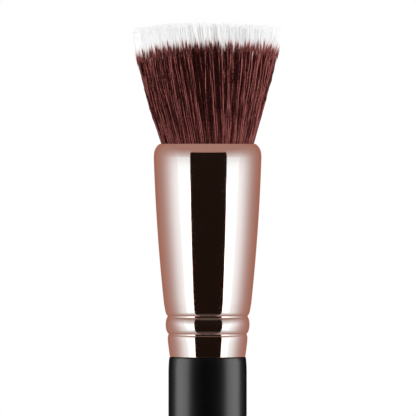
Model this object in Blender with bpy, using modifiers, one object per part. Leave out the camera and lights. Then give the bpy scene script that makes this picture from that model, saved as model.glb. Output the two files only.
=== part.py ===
"""Flat-top foundation brush, standing on the end of its handle.

Metres, +Z from the handle towards the bristles. The origin is the centre of the handle's flat end.
The handle's tenon is glued into a rolled metal ferrule. The tuft's root is tied with thread, set in
a resin plug and packed into the ferrule, and its strands flare out of the ferrule's mouth.
"""

import math
import random

import bmesh
import bpy
from mathutils import Matrix, Vector

SEAM = 0.0003
WELD_DISTANCE = SEAM / 100
ROUND_STEPS = 48
INNER_STEPS = 36
SHARP_EDGE_ANGLE = 38
CUT_OVERRUN = 0.002

# Handle
HANDLE_LENGTH = 0.096
HANDLE_DIAMETER = 0.0188
HANDLE_STRAIGHT = 0.013
HANDLE_END_DIAMETER = 0.0128
HANDLE_END_ROUNDING = 0.0021
HANDLE_END_FIRST_ANGLE = -22.5
SHOULDER_ROUND_WIDTH = 0.0004
SHOULDER_ROUND_HEIGHT = 0.0012
HANDLE_BELLY_SHARE = 0.28
HANDLE_POINT_SHARES = (0, 0.2, 0.4, 0.6, 0.8, 1)
HANDLE_ROUND_POINTS = 4
TENON_LENGTH = 0.0165
TENON_CHAMFER = 0.0008

# Ferrule, with heights counted up from its foot
FERRULE_LENGTH = 0.0512
FERRULE_WALL = 0.0005
FOOT_DIAMETER = 0.01806
FOOT_ROUNDING = 0.00015
SKIRT_DIAMETER = 0.01916
SKIRT_MIDDLE_SHARE = 0.72
SKIRT_TOP_SHARE = 0.90
LOWER_GROOVE_DIAMETER = 0.01876
LOWER_GROOVE_HEIGHT = 0.00547
BEAD_DIAMETER = 0.02020
BEAD_FOOT_SHARES = (0.46, 0.84)
BEAD_TOP_SHARES = (0.42, 0.86)
UPPER_GROOVE_DIAMETER = 0.01926
GROOVE_PITCH = 0.00432
GROOVE_WIDTH = 0.0012
BODY_FOOT_SHARES = (0.42, 0.78)
BODY_FOOT_DIAMETER = 0.02102
BODY_FOOT_RISE = 0.0031
BODY_TOP_DIAMETER = 0.02584
BODY_CURVE_SHARE = 0.565
BODY_POINT_SHARES = (0, 0.2, 0.4, 0.6, 0.8, 1)
BORE_POINT_SHARES = (1, 0.6, 0.3, 0)
RIM_CREST_WIDTH = 0.0001
RIM_ROUND_HEIGHT = 0.0026
RIM_ROUND_LAST_ANGLE = 18
RIM_ROUND_POINTS = 5
MOUTH_DIAMETER = 0.0224
LIP_ROUNDING = 0.0003
LIP_DEPTH = 0.0013

# Glue between the tenon and the ferrule
GLUE_THICKNESS = 0.0004
GLUE_FOOT_HEIGHT = 0.0026
GLUE_TOP_HEIGHT = 0.0132

# Packed root of the tuft, with depths counted down from the ferrule's rim
PACKED_TOP_DEPTH = 0.0032
PACKED_LENGTH = 0.0085
TIED_ROOT_DIAMETER = 0.0172
THREAD_DIAMETER = 0.0005
THREAD_PITCH = 0.0011
THREAD_TURNS = 3
THREAD_POINTS_A_TURN = 24
PLUG_FLOOR = 0.0030
SECTORS = 6

# Strands, with heights counted up from the ferrule's rim
HEAD_DIAMETER = 0.0364
TUFT_HEIGHT = 0.0286
EDGE_DROP = 0.0020
EDGE_DROP_POWER = 4
TIP_DYE_LENGTH = 0.0045
RINGS = 10
CORE_RINGS = 4
MIDDLE_HEIGHT_SHARE = 0.35
MIDDLE_FLARE_SHARE = 0.45
DYE_FLARE_SHARE = 0.97
STRAND_ROOT_SHARE = 0.30
STRAND_MIDDLE_SHARE = 0.36
STRAND_DYE_SHARE = 0.40
STRAND_TIP_SHARE = 0.20
TIP_UNEVENNESS = 0.0005
TIP_LEAN_SHARE = 0.20
DYE_LEAN_SHARE = 0.35
STRAND_SIDES = 3
CORE_NOISE_SEED = 11
WEDGE_NOISE_SEED = 100

# Places that follow from the sizes above
FERRULE_FOOT_Z = HANDLE_LENGTH + SEAM
RIM_Z = FERRULE_FOOT_Z + FERRULE_LENGTH
UPPER_GROOVE_HEIGHT = LOWER_GROOVE_HEIGHT + GROOVE_PITCH
BODY_FOOT_HEIGHT = UPPER_GROOVE_HEIGHT + BODY_FOOT_RISE
BODY_TOP_HEIGHT = FERRULE_LENGTH - RIM_ROUND_HEIGHT
PACKED_TOP_Z = RIM_Z - PACKED_TOP_DEPTH
PACKED_FOOT_Z = PACKED_TOP_Z - PACKED_LENGTH
TIED_LENGTH = THREAD_TURNS * THREAD_PITCH + THREAD_DIAMETER + 2 * SEAM
ROOT_Z = PACKED_FOOT_Z - TIED_LENGTH


def principled(name, colour, roughness, metallic):
    """A plain material."""
    material = bpy.data.materials.new(name)
    material.use_nodes = True
    shader = material.node_tree.nodes["Principled BSDF"]
    shader.inputs["Base Color"].default_value = (*colour, 1)
    shader.inputs["Roughness"].default_value = roughness
    shader.inputs["Metallic"].default_value = metallic
    material.diffuse_color = (*colour, 1)
    return material


def new_collection(name):
    """A collection in the scene."""
    collection = bpy.data.collections.new(name)
    bpy.context.scene.collection.children.link(collection)
    return collection


def helper(obj):
    """Keep a cutter or guide out of the finished model."""
    obj.hide_render = True
    obj.display_type = "WIRE"
    return obj


def evaluated_mesh(obj, name):
    """The object's shape as a plain mesh, with its loose caps and seams welded."""
    bpy.context.view_layer.update()
    graph = bpy.context.evaluated_depsgraph_get()
    mesh = bpy.data.meshes.new_from_object(obj.evaluated_get(graph))
    mesh.name = name
    shape = bmesh.new()
    shape.from_mesh(mesh)
    bmesh.ops.remove_doubles(shape, verts=shape.verts, dist=WELD_DISTANCE)
    bmesh.ops.recalc_face_normals(shape, faces=shape.faces)
    shape.to_mesh(mesh)
    shape.free()
    return mesh


def turned(name, profile, material, collection, steps, closed=False):
    """A turned piece from (radius, height) points that run down its outer side.

    An open profile starts and ends on the axis, and a closed one makes a ring.
    """
    outline = bpy.data.meshes.new(name)
    edges = [(i, i + 1) for i in range(len(profile) - 1)]
    if closed:
        edges.append((len(profile) - 1, 0))
    outline.from_pydata([(radius, 0, height) for radius, height in profile], edges, [])
    obj = bpy.data.objects.new(name, outline)
    collection.objects.link(obj)
    screw = obj.modifiers.new("turn", "SCREW")
    screw.axis = "Z"
    screw.angle = math.tau
    screw.steps = screw.render_steps = steps
    screw.use_merge_vertices = True
    screw.merge_threshold = WELD_DISTANCE
    mesh = evaluated_mesh(obj, name)
    obj.modifiers.clear()
    obj.data = mesh
    mesh.materials.append(material)
    mesh.shade_smooth()
    mesh.set_sharp_from_angle(angle=math.radians(SHARP_EDGE_ANGLE))
    return obj


def blend(start, end, share):
    """The value that lies a share of the way from start to end."""
    return start + (end - start) * share


def quarter_round(centre_radius, centre_height, width, height, first, last, points):
    """Points of an elliptical rounding; angles in degrees from +radius towards +height."""
    found = []
    for i in range(points):
        angle = math.radians(blend(first, last, i / (points - 1)))
        found.append((centre_radius + width * math.cos(angle),
                      centre_height + height * math.sin(angle)))
    return found


def body_radius(height):
    """Outer radius of the ferrule's slightly swelling body."""
    down = (BODY_TOP_HEIGHT - height) / (BODY_TOP_HEIGHT - BODY_FOOT_HEIGHT)
    taper = (BODY_TOP_DIAMETER - BODY_FOOT_DIAMETER) / 2
    bend = BODY_CURVE_SHARE * down * down + (1 - BODY_CURVE_SHARE) * down
    return BODY_TOP_DIAMETER / 2 - taper * bend


def grooved_outline():
    """Outer (radius, height) points from just over the upper groove down to the skirt."""
    half = GROOVE_WIDTH / 2
    upper_floor = UPPER_GROOVE_DIAMETER / 2
    lower_floor = LOWER_GROOVE_DIAMETER / 2
    bead = BEAD_DIAMETER / 2
    skirt = SKIRT_DIAMETER / 2
    bead_height = (UPPER_GROOVE_HEIGHT + LOWER_GROOVE_HEIGHT) / 2
    bead_rise = (GROOVE_PITCH - GROOVE_WIDTH) / 2
    foot = BODY_FOOT_DIAMETER / 2
    foot_low, foot_high = (blend(upper_floor, foot, share) for share in BODY_FOOT_SHARES)
    bead_upper, bead_top = (blend(upper_floor, bead, share) for share in BEAD_TOP_SHARES)
    bead_lower, bead_foot = (blend(lower_floor, bead, share) for share in BEAD_FOOT_SHARES)
    return [
        (foot_high, UPPER_GROOVE_HEIGHT + BODY_FOOT_RISE / 2),
        (foot_low, UPPER_GROOVE_HEIGHT + half),
        (upper_floor, UPPER_GROOVE_HEIGHT),
        (bead_upper, UPPER_GROOVE_HEIGHT - half),
        (bead_top, bead_height + bead_rise / 2),
        (bead, bead_height),
        (bead_foot, bead_height - bead_rise / 2),
        (bead_lower, LOWER_GROOVE_HEIGHT + half),
        (lower_floor, LOWER_GROOVE_HEIGHT),
        (blend(lower_floor, skirt, SKIRT_TOP_SHARE), LOWER_GROOVE_HEIGHT - half),
    ]


def ferrule_outline():
    """Outer (radius, height) points of the ferrule from its rim's rounding down to its skirt."""
    points = []
    for share in BODY_POINT_SHARES:
        height = blend(BODY_TOP_HEIGHT, BODY_FOOT_HEIGHT, share)
        points.append((body_radius(height), height))
    return points + grooved_outline()


def bore_radius(height):
    """Inner radius of the ferrule at a height above its foot."""
    outline = ferrule_outline() + [(FOOT_DIAMETER / 2, 0)]
    if height >= outline[0][1]:
        return outline[0][0] - FERRULE_WALL
    for (upper, top), (lower, bottom) in zip(outline, outline[1:]):
        if height >= bottom:
            return blend(lower, upper, (height - bottom) / (top - bottom)) - FERRULE_WALL
    return FOOT_DIAMETER / 2 - FERRULE_WALL


TENON_RADIUS = LOWER_GROOVE_DIAMETER / 2 - FERRULE_WALL - GLUE_THICKNESS - 2 * SEAM


def make_handle(material, collection):
    """The turned handle with its tenon."""
    radius = HANDLE_DIAMETER / 2
    end_radius = HANDLE_END_DIAMETER / 2
    flat_radius = end_radius - HANDLE_END_ROUNDING
    straight_foot = HANDLE_LENGTH - HANDLE_STRAIGHT
    round_centre = radius - SHOULDER_ROUND_WIDTH
    round_height = HANDLE_LENGTH - SHOULDER_ROUND_HEIGHT
    tenon_top = HANDLE_LENGTH + TENON_LENGTH
    profile = [
        (0, tenon_top),
        (TENON_RADIUS - TENON_CHAMFER, tenon_top),
        (TENON_RADIUS, tenon_top - TENON_CHAMFER),
        (TENON_RADIUS, HANDLE_LENGTH),
    ]
    profile += quarter_round(round_centre, round_height, SHOULDER_ROUND_WIDTH,
                             SHOULDER_ROUND_HEIGHT, 90, 0, HANDLE_ROUND_POINTS)
    for share in HANDLE_POINT_SHARES:
        belly = share ** (2 - HANDLE_BELLY_SHARE)
        profile.append((blend(radius, end_radius, belly),
                        blend(straight_foot, HANDLE_END_ROUNDING, share)))
    profile += quarter_round(flat_radius, HANDLE_END_ROUNDING, HANDLE_END_ROUNDING,
                             HANDLE_END_ROUNDING, HANDLE_END_FIRST_ANGLE, -90,
                             HANDLE_ROUND_POINTS)
    profile.append((0, 0))
    return turned("handle", profile, material, collection, ROUND_STEPS)


def make_ferrule(material, collection):
    """The rolled metal tube."""
    top_radius = BODY_TOP_DIAMETER / 2
    mouth_radius = MOUTH_DIAMETER / 2
    inner_top = bore_radius(BODY_TOP_HEIGHT)
    crest = mouth_radius + LIP_ROUNDING + RIM_CREST_WIDTH
    outer = quarter_round(crest, BODY_TOP_HEIGHT, top_radius - crest, RIM_ROUND_HEIGHT, 90,
                          RIM_ROUND_LAST_ANGLE, RIM_ROUND_POINTS)
    outer += ferrule_outline()
    foot = FOOT_DIAMETER / 2
    outer += [
        (blend(foot, SKIRT_DIAMETER / 2, SKIRT_MIDDLE_SHARE), LOWER_GROOVE_HEIGHT / 2),
        (foot, FOOT_ROUNDING),
        (foot - FOOT_ROUNDING, 0),
        (foot - FERRULE_WALL, 0),
    ]
    inner = [(radius - FERRULE_WALL, height) for radius, height in reversed(grooved_outline())]
    for share in BORE_POINT_SHARES:
        height = blend(BODY_TOP_HEIGHT, BODY_FOOT_HEIGHT, share)
        inner.append((bore_radius(height), height))
    lip = [
        (inner_top, FERRULE_LENGTH - LIP_DEPTH - (inner_top - mouth_radius) / 2),
        (mouth_radius, FERRULE_LENGTH - LIP_DEPTH),
        (mouth_radius, FERRULE_LENGTH - LIP_ROUNDING),
        (mouth_radius + LIP_ROUNDING, FERRULE_LENGTH),
    ]
    profile = [(radius, height + FERRULE_FOOT_Z) for radius, height in outer + inner + lip]
    return turned("ferrule", profile, material, collection, ROUND_STEPS, closed=True)


def make_glue(material, collection):
    """The cured sleeve round the tenon, keyed into the ferrule's two rolled grooves."""
    heights = [GLUE_TOP_HEIGHT]
    heights += [h for _, h in grooved_outline() if GLUE_FOOT_HEIGHT < h < GLUE_TOP_HEIGHT]
    heights.append(GLUE_FOOT_HEIGHT)
    inner = TENON_RADIUS + SEAM
    profile = [(bore_radius(h) - SEAM, h + FERRULE_FOOT_Z) for h in heights]
    profile += [(inner, GLUE_FOOT_HEIGHT + FERRULE_FOOT_Z),
                (inner, GLUE_TOP_HEIGHT + FERRULE_FOOT_Z)]
    return turned("tenon_glue", profile, material, collection, ROUND_STEPS, closed=True)


def make_plug(material, collection):
    """The resin cup that holds the tied root and fills the ferrule's bore."""
    cavity = TIED_ROOT_DIAMETER / 2 + 2 * SEAM + THREAD_DIAMETER
    top = PACKED_FOOT_Z - SEAM
    floor = ROOT_Z - SEAM
    bottom = floor - PLUG_FLOOR
    profile = [
        (cavity, top),
        (bore_radius(top - FERRULE_FOOT_Z) - SEAM, top),
        (bore_radius(bottom - FERRULE_FOOT_Z) - SEAM, bottom),
        (0, bottom),
    ]
    return turned("root_plug", [(0, floor), (cavity, floor)] + profile, material, collection,
                  INNER_STEPS)


def make_thread(material, collection):
    """Turns of thread that tie the root, as one unbroken tube."""
    radius = TIED_ROOT_DIAMETER / 2 + SEAM + THREAD_DIAMETER / 2
    foot = ROOT_Z + SEAM + THREAD_DIAMETER / 2
    count = THREAD_TURNS * THREAD_POINTS_A_TURN
    places = []
    for i in range(count + 1):
        angle = math.tau * i / THREAD_POINTS_A_TURN
        places.append(Vector((radius * math.cos(angle), radius * math.sin(angle),
                              foot + THREAD_PITCH * i / THREAD_POINTS_A_TURN)))
    gaps = [(a - b).length - THREAD_DIAMETER
            for i, a in enumerate(places)
            for b in places[i + THREAD_POINTS_A_TURN // 2:]]
    print(f"least gap of the thread to itself {min(gaps) * 1000:.2f} mm")
    curve = bpy.data.curves.new("binding_thread", "CURVE")
    curve.dimensions = "3D"
    curve.bevel_depth = THREAD_DIAMETER / 2
    curve.bevel_resolution = 1
    curve.use_fill_caps = True
    spline = curve.splines.new("POLY")
    spline.points.add(len(places) - 1)
    for point, place in zip(spline.points, places):
        point.co = (*place, 1)
    curve.materials.append(material)
    obj = bpy.data.objects.new("binding_thread", curve)
    collection.objects.link(obj)
    return obj


def outline_radii():
    """Radius of the outermost ring of strands at its root, middle, dye line and tip."""
    pitch_at_mouth = MOUTH_DIAMETER / 2 / RINGS
    at_rim = MOUTH_DIAMETER / 2 - SEAM - STRAND_MIDDLE_SHARE * pitch_at_mouth
    head = HEAD_DIAMETER / 2
    head_pitch = head / RINGS
    tip = head - STRAND_DYE_SHARE * head_pitch
    middle = blend(at_rim, tip, MIDDLE_FLARE_SHARE)
    middle_height = TUFT_HEIGHT * MIDDLE_HEIGHT_SHARE
    root = at_rim - (middle - at_rim) * PACKED_TOP_DEPTH / middle_height
    return root, middle, blend(at_rim, tip, DYE_FLARE_SHARE), tip


def strand_places(ring, index, noise):
    """(place, thickness) of one strand at its root, middle, dye line and tip."""
    radii = outline_radii()
    share = ring / RINGS
    angle = math.tau * (index + 0.5) / max(1, SECTORS * ring)
    side = Vector((math.cos(angle), math.sin(angle), 0))
    lean = Vector((noise.uniform(-1, 1), noise.uniform(-1, 1), 0)) * TIP_LEAN_SHARE
    uneven = noise.uniform(-TIP_UNEVENNESS, TIP_UNEVENNESS)
    tip_height = TUFT_HEIGHT - EDGE_DROP * share ** EDGE_DROP_POWER + uneven - TIP_UNEVENNESS
    heights = (-PACKED_TOP_DEPTH - SEAM, TUFT_HEIGHT * MIDDLE_HEIGHT_SHARE,
               tip_height - TIP_DYE_LENGTH, tip_height)
    thickness_shares = (STRAND_ROOT_SHARE, STRAND_MIDDLE_SHARE, STRAND_DYE_SHARE,
                        STRAND_TIP_SHARE)
    leans = (0, 0, DYE_LEAN_SHARE, 1)
    found = []
    for radius, height, thickness, bend in zip(radii, heights, thickness_shares, leans):
        pitch = radius / RINGS
        place = side * radius * share + lean * pitch * bend
        place.z = RIM_Z + height
        found.append((place, thickness * pitch))
    return found


def strand_mesh(name, strands, materials, cutters):
    """All the given strands as one mesh of separate closed tubes with few sides."""
    section = bpy.data.curves.new(name + "_section", "CURVE")
    edge = section.splines.new("POLY")
    edge.points.add(STRAND_SIDES - 1)
    edge.use_cyclic_u = True
    for i, point in enumerate(edge.points):
        angle = math.tau * i / STRAND_SIDES
        point.co = (math.cos(angle), math.sin(angle), 0, 1)
    section_obj = bpy.data.objects.new(name + "_section", section)
    cutters.objects.link(section_obj)

    curve = bpy.data.curves.new(name, "CURVE")
    curve.dimensions = "3D"
    curve.bevel_mode = "OBJECT"
    curve.bevel_object = section_obj
    curve.use_fill_caps = True
    for strand in strands:
        spline = curve.splines.new("POLY")
        spline.points.add(len(strand) - 1)
        for point, (place, thickness) in zip(spline.points, strand):
            point.co = (*place, 1)
            point.radius = thickness
    curve_obj = bpy.data.objects.new(name, curve)
    cutters.objects.link(curve_obj)
    mesh = evaluated_mesh(curve_obj, name)
    bpy.data.objects.remove(curve_obj)
    bpy.data.objects.remove(section_obj)

    for material in materials:
        mesh.materials.append(material)
    lowest_tip = RIM_Z + TUFT_HEIGHT - EDGE_DROP - 2 * TIP_UNEVENNESS
    brown_top = lowest_tip - TIP_DYE_LENGTH - TIP_UNEVENNESS
    for face in mesh.polygons:
        lowest = min(mesh.vertices[i].co.z for i in face.vertices)
        face.material_index = 1 if lowest > brown_top else 0
    return mesh


def join_strands(obj, strands, materials, cutters):
    """Fuse the strands to their slice of the packed root."""
    name = obj.name + "_strands"
    mesh = strand_mesh(name, strands, materials, cutters)
    operand = bpy.data.objects.new(name, mesh)
    cutters.objects.link(helper(operand))
    union = obj.modifiers.new("strands", "BOOLEAN")
    union.operation = "UNION"
    union.object = operand


def core_radius():
    """Middle of the seam between the core's strands and the wedges' strands."""
    return outline_radii()[0] * (CORE_RINGS + 0.5) / RINGS


def make_tuft_core(materials, collection, cutters):
    """The middle of the packed root, with the strands that grow from it."""
    radius = core_radius() - SEAM / 2
    profile = [(0, PACKED_TOP_Z), (radius, PACKED_TOP_Z), (radius, ROOT_Z), (0, ROOT_Z)]
    obj = turned("tuft_core", profile, materials[0], collection, INNER_STEPS)
    obj.data.materials.append(materials[1])
    noise = random.Random(CORE_NOISE_SEED)
    strands = [strand_places(0, 0, noise)]
    for ring in range(1, CORE_RINGS + 1):
        strands += [strand_places(ring, i, noise) for i in range(SECTORS * ring)]
    join_strands(obj, strands, materials, cutters)
    return obj


def make_tuft_wedge(number, materials, collection, cutters):
    """One sector of the packed root outside the core, with the strands that grow from it."""
    inner = core_radius() + SEAM / 2
    tied = TIED_ROOT_DIAMETER / 2
    profile = [
        (inner, PACKED_TOP_Z),
        (bore_radius(PACKED_TOP_Z - FERRULE_FOOT_Z) - SEAM, PACKED_TOP_Z),
        (bore_radius(PACKED_FOOT_Z - FERRULE_FOOT_Z) - SEAM, PACKED_FOOT_Z),
        (tied, PACKED_FOOT_Z),
        (tied, ROOT_Z),
        (inner, ROOT_Z),
    ]
    name = f"tuft_wedge_{number + 1}"
    obj = turned(name, profile, materials[0], collection, ROUND_STEPS, closed=True)
    obj.data.materials.append(materials[1])

    # A sector of a sixth of a turn is cut by a three-sided prism with one corner at the axis.
    turn = math.tau / SECTORS
    reach = BODY_TOP_DIAMETER
    apex = SEAM / 2 / math.sin(turn / 2)
    length = PACKED_TOP_Z - ROOT_Z + 2 * CUT_OVERRUN
    prism = bpy.data.meshes.new(name + "_sector")
    shape = bmesh.new()
    bmesh.ops.create_cone(shape, cap_ends=True, segments=3, radius1=reach, radius2=reach,
                          depth=length)
    corner = max(shape.verts, key=lambda vert: vert.co.y).co
    towards = math.atan2(corner.y, corner.x)
    middle = turn * (number + 0.5)
    bmesh.ops.transform(shape, verts=shape.verts,
                        matrix=Matrix.Rotation(middle + math.pi - towards, 4, "Z"))
    centre = Vector((math.cos(middle), math.sin(middle), 0)) * (reach + apex)
    centre.z = (PACKED_TOP_Z + ROOT_Z) / 2
    bmesh.ops.translate(shape, verts=shape.verts, vec=centre)
    shape.to_mesh(prism)
    shape.free()
    cutter = bpy.data.objects.new(name + "_sector", prism)
    cutters.objects.link(helper(cutter))
    sector = obj.modifiers.new("sector", "BOOLEAN")
    sector.operation = "INTERSECT"
    sector.object = cutter

    noise = random.Random(WEDGE_NOISE_SEED + number)
    strands = []
    for ring in range(CORE_RINGS + 1, RINGS + 1):
        first = number * ring
        strands += [strand_places(ring, first + i, noise) for i in range(ring)]
    join_strands(obj, strands, materials, cutters)
    return obj


def main():
    """Build the brush under one empty."""
    for obj in list(bpy.data.objects):
        bpy.data.objects.remove(obj)
    collection = new_collection("foundation_brush")
    cutters = new_collection("cutters")

    lacquer = principled("black_satin_lacquer", (0.006, 0.006, 0.006), 0.32, 0)
    rose_gold = principled("rose_gold_aluminium", (0.78, 0.47, 0.38), 0.12, 1)
    brown = principled("red_brown_filament", (0.060, 0.016, 0.013), 0.55, 0)
    white = principled("white_filament_tip", (0.82, 0.82, 0.82), 0.55, 0)
    resin = principled("root_resin", (0.42, 0.34, 0.20), 0.30, 0)
    thread = principled("binding_thread_cotton", (0.55, 0.52, 0.46), 0.80, 0)
    glue = principled("tenon_adhesive", (0.62, 0.58, 0.48), 0.45, 0)

    pieces = [
        make_handle(lacquer, collection),
        make_ferrule(rose_gold, collection),
        make_glue(glue, collection),
        make_plug(resin, collection),
        make_thread(thread, collection),
        make_tuft_core((brown, white), collection, cutters),
    ]
    for number in range(SECTORS):
        pieces.append(make_tuft_wedge(number, (brown, white), collection, cutters))

    brush = bpy.data.objects.new("foundation_brush", None)
    collection.objects.link(brush)
    for piece in pieces:
        piece.parent = brush


main()
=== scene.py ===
"""Looks of a flat-top foundation brush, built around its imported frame.

The camera, the studio and every finish are set here. The frame's solids are in metres, +Z from the
handle's end to the bristles, and the brush stands at the origin. The camera looks along +Y.
"""

import logging
import math
from collections.abc import Callable, Iterable, Sequence
from dataclasses import dataclass, field
from enum import Enum

import bpy
import numpy as np
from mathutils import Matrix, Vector, kdtree


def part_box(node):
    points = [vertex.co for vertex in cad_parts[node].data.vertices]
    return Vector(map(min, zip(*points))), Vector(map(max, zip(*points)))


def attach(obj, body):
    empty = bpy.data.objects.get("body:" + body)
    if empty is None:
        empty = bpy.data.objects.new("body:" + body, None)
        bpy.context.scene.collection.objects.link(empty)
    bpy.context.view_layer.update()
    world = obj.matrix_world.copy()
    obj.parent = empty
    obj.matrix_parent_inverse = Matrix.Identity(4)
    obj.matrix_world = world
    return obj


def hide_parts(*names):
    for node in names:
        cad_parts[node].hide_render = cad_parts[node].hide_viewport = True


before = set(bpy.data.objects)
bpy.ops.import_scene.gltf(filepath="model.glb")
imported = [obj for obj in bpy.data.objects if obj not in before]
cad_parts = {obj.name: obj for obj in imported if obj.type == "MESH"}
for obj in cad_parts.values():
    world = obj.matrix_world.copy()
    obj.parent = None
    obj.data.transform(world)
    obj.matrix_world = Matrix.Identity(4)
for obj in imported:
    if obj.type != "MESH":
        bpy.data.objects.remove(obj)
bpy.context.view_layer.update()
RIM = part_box("ferrule")[1].z

LOG = logging.getLogger("foundation_brush")
MM = 0.001
WELD = 0.001 * MM
BODY = "root"
HAIR_MAP = "OFBake"

PHOTO_PIXELS = 416
MM_PER_PIXEL = 0.24
AXIS_PIXEL_X = 207.6
RIM_PIXEL_Y = 143.8

NOISE_MEAN = 0.5
NOISE_MIDDLE = (0.35, 0.65)

Point = tuple[float, float]
Triple = tuple[float, float, float]
Colour = tuple[float, float, float]


class Slot(Enum):
    """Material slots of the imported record."""

    HANDLE = "handle_lacquer"
    FERRULE = "ferrule_metal"
    ADHESIVE = "adhesive"
    RESIN = "resin"
    THREAD = "thread"
    FILAMENT = "filament"


def blend(start: float, end: float, share: float) -> float:
    """Value that lies a share of the way from start to end."""
    return start + (end - start) * share


# Shader graphs


class Signal:
    """A shader socket on which Python's operators add Math nodes."""

    def __init__(self, graph: "Graph", socket: bpy.types.NodeSocket) -> None:
        """Keep the graph that the socket belongs to.

        Args:
            graph: The graph that new nodes go into.
            socket: The output that this signal reads.
        """
        self.graph = graph
        self.socket = socket

    def math(self, operation: str, *others: "Signal | float") -> "Signal":
        """Signal of one Math node on this signal and the others."""
        return self.graph.node("ShaderNodeMath", {"operation": operation}, self, *others)

    def __add__(self, other: "Signal | float") -> "Signal":
        """Sum."""
        return self.math("ADD", other)

    def __mul__(self, other: "Signal | float") -> "Signal":
        """Product."""
        return self.math("MULTIPLY", other)

    def __sub__(self, other: "Signal | float") -> "Signal":
        """Difference."""
        return self.math("SUBTRACT", other)

    def __rsub__(self, other: float) -> "Signal":
        """Difference from a number."""
        return self.graph.node("ShaderNodeMath", {"operation": "SUBTRACT"}, other, self)

    __radd__ = __add__
    __rmul__ = __mul__

    def ramp(self, low: float, high: float) -> "Signal":
        """Smooth 0 to 1 as this signal runs from low to high."""
        settings = {"interpolation_type": "SMOOTHSTEP", "clamp": True}
        return self.graph.node("ShaderNodeMapRange", settings, self, low, high, 0.0, 1.0)

    def swing(self, depth: float) -> "Signal":
        """Swing of this noise round 0, scaled to a depth."""
        return (self - NOISE_MEAN) * depth


class Graph:
    """Node tree of one material or of the world."""

    def __init__(self, owner: bpy.types.Material | bpy.types.World) -> None:
        """Empty the owner's node tree.

        Args:
            owner: The material or world whose nodes are built.
        """
        owner.use_nodes = True
        self.tree = owner.node_tree
        self.tree.nodes.clear()

    def node(self, kind: str, settings: dict[str, object] | None = None,
             *inputs: object, output: str | int = 0, **named: object) -> Signal:
        """Add one node and return one of its outputs.

        Args:
            kind: Blender's name of the node type.
            settings: Attributes of the node, such as a Math node's operation.
            inputs: Values or signals of its first sockets, in order.
            output: Name or number of the output wanted.
            named: Values or signals of sockets by name, with _ for a space.

        Returns:
            The wanted output as a signal.
        """
        made = self.tree.nodes.new(kind)
        for name, value in (settings or {}).items():
            setattr(made, name, value)
        sockets = list(zip(made.inputs, inputs))
        sockets += [(made.inputs[name.replace("_", " ")], value) for name, value in named.items()]
        for socket, value in sockets:
            if isinstance(value, Signal):
                self.tree.links.new(value.socket, socket)
            elif value is not None:
                socket.default_value = value
        found = made.outputs[output] if made.outputs else None
        return Signal(self, found)

    def mix_colour(self, factor: Signal | float, first: object, second: object) -> Signal:
        """Mix two colours.

        Args:
            factor: 0 for the first colour and 1 for the second.
            first: The first colour, as a value or a signal.
            second: The second colour.

        Returns:
            The mixed colour.
        """
        made = self.tree.nodes.new("ShaderNodeMix")
        made.data_type = "RGBA"
        for name, value in (("Factor", factor), ("A", first), ("B", second)):
            sockets = [s for s in made.inputs if s.name == name and s.enabled]
            if isinstance(value, Signal):
                self.tree.links.new(value.socket, sockets[0])
            else:
                sockets[0].default_value = value
        return Signal(self, next(s for s in made.outputs if s.enabled))

    def between(self, mask: Signal, limits: Point, first: Colour, second: Colour) -> Signal:
        """Colour that goes from the first to the second as a mask runs between two limits."""
        return self.mix_colour(mask.ramp(*limits), rgba(first), rgba(second))

    def stops(self, place: Signal, stops: Sequence[tuple[float, Sequence[float]]]) -> Signal:
        """Colour that runs through stops.

        Args:
            place: Where between the stops the colour is read, from 0 to 1.
            stops: Places and colours, in order.

        Returns:
            The colour.
        """
        made = self.node("ShaderNodeValToRGB", None, place)
        ramp = made.socket.node.color_ramp
        while len(ramp.elements) < len(stops):
            ramp.elements.new(0.5)
        for element, (position, colour) in zip(ramp.elements, stops):
            element.position = position
            element.color = rgba(colour)
        return made

    def object_place(self) -> Signal:
        """Object coordinates."""
        return self.node("ShaderNodeTexCoord", output="Object")

    def stretched(self, place: Signal, scale: Sequence[float]) -> Signal:
        """Coordinates scaled along each axis."""
        return self.node("ShaderNodeMapping", None, place, Scale=tuple(scale))

    def noise(self, place: Signal, scale: float, detail: float = 3.0,
              roughness: float = 0.5) -> Signal:
        """Noise between about 0.25 and 0.75."""
        return self.node("ShaderNodeTexNoise", None, place, Scale=scale, Detail=detail,
                         Roughness=roughness)

    def bump(self, height: Signal, distance: float, strength: float) -> Signal:
        """Normal of a bumpy surface."""
        return self.node("ShaderNodeBump", None, Height=height, Distance=distance,
                         Strength=strength)

    def finish_surface(self, shader: Signal) -> None:
        """Send a shader to the material's surface."""
        self.node("ShaderNodeOutputMaterial", None, shader)


def principled(graph: Graph, **named: object) -> Signal:
    """Principled shader with the given sockets."""
    return graph.node("ShaderNodeBsdfPrincipled", None, **named)


def rgba(colour: Sequence[float]) -> tuple[float, float, float, float]:
    """Opaque colour."""
    return (*colour, 1.0)


def scaled(colour: Colour, share: float) -> Colour:
    """Darker or lighter colour of the same hue."""
    return tuple(part * share for part in colour)


# Finishes


class Finish:
    """A named finish, of which each kind gives its own shader."""

    name: str

    def surface(self, graph: Graph) -> Signal:
        """Shader of the finish."""
        raise NotImplementedError

    def material(self) -> bpy.types.Material:
        """Build the material.

        Returns:
            The material.
        """
        made = bpy.data.materials.new(self.name)
        graph = Graph(made)
        graph.finish_surface(self.surface(graph))
        return made


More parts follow.
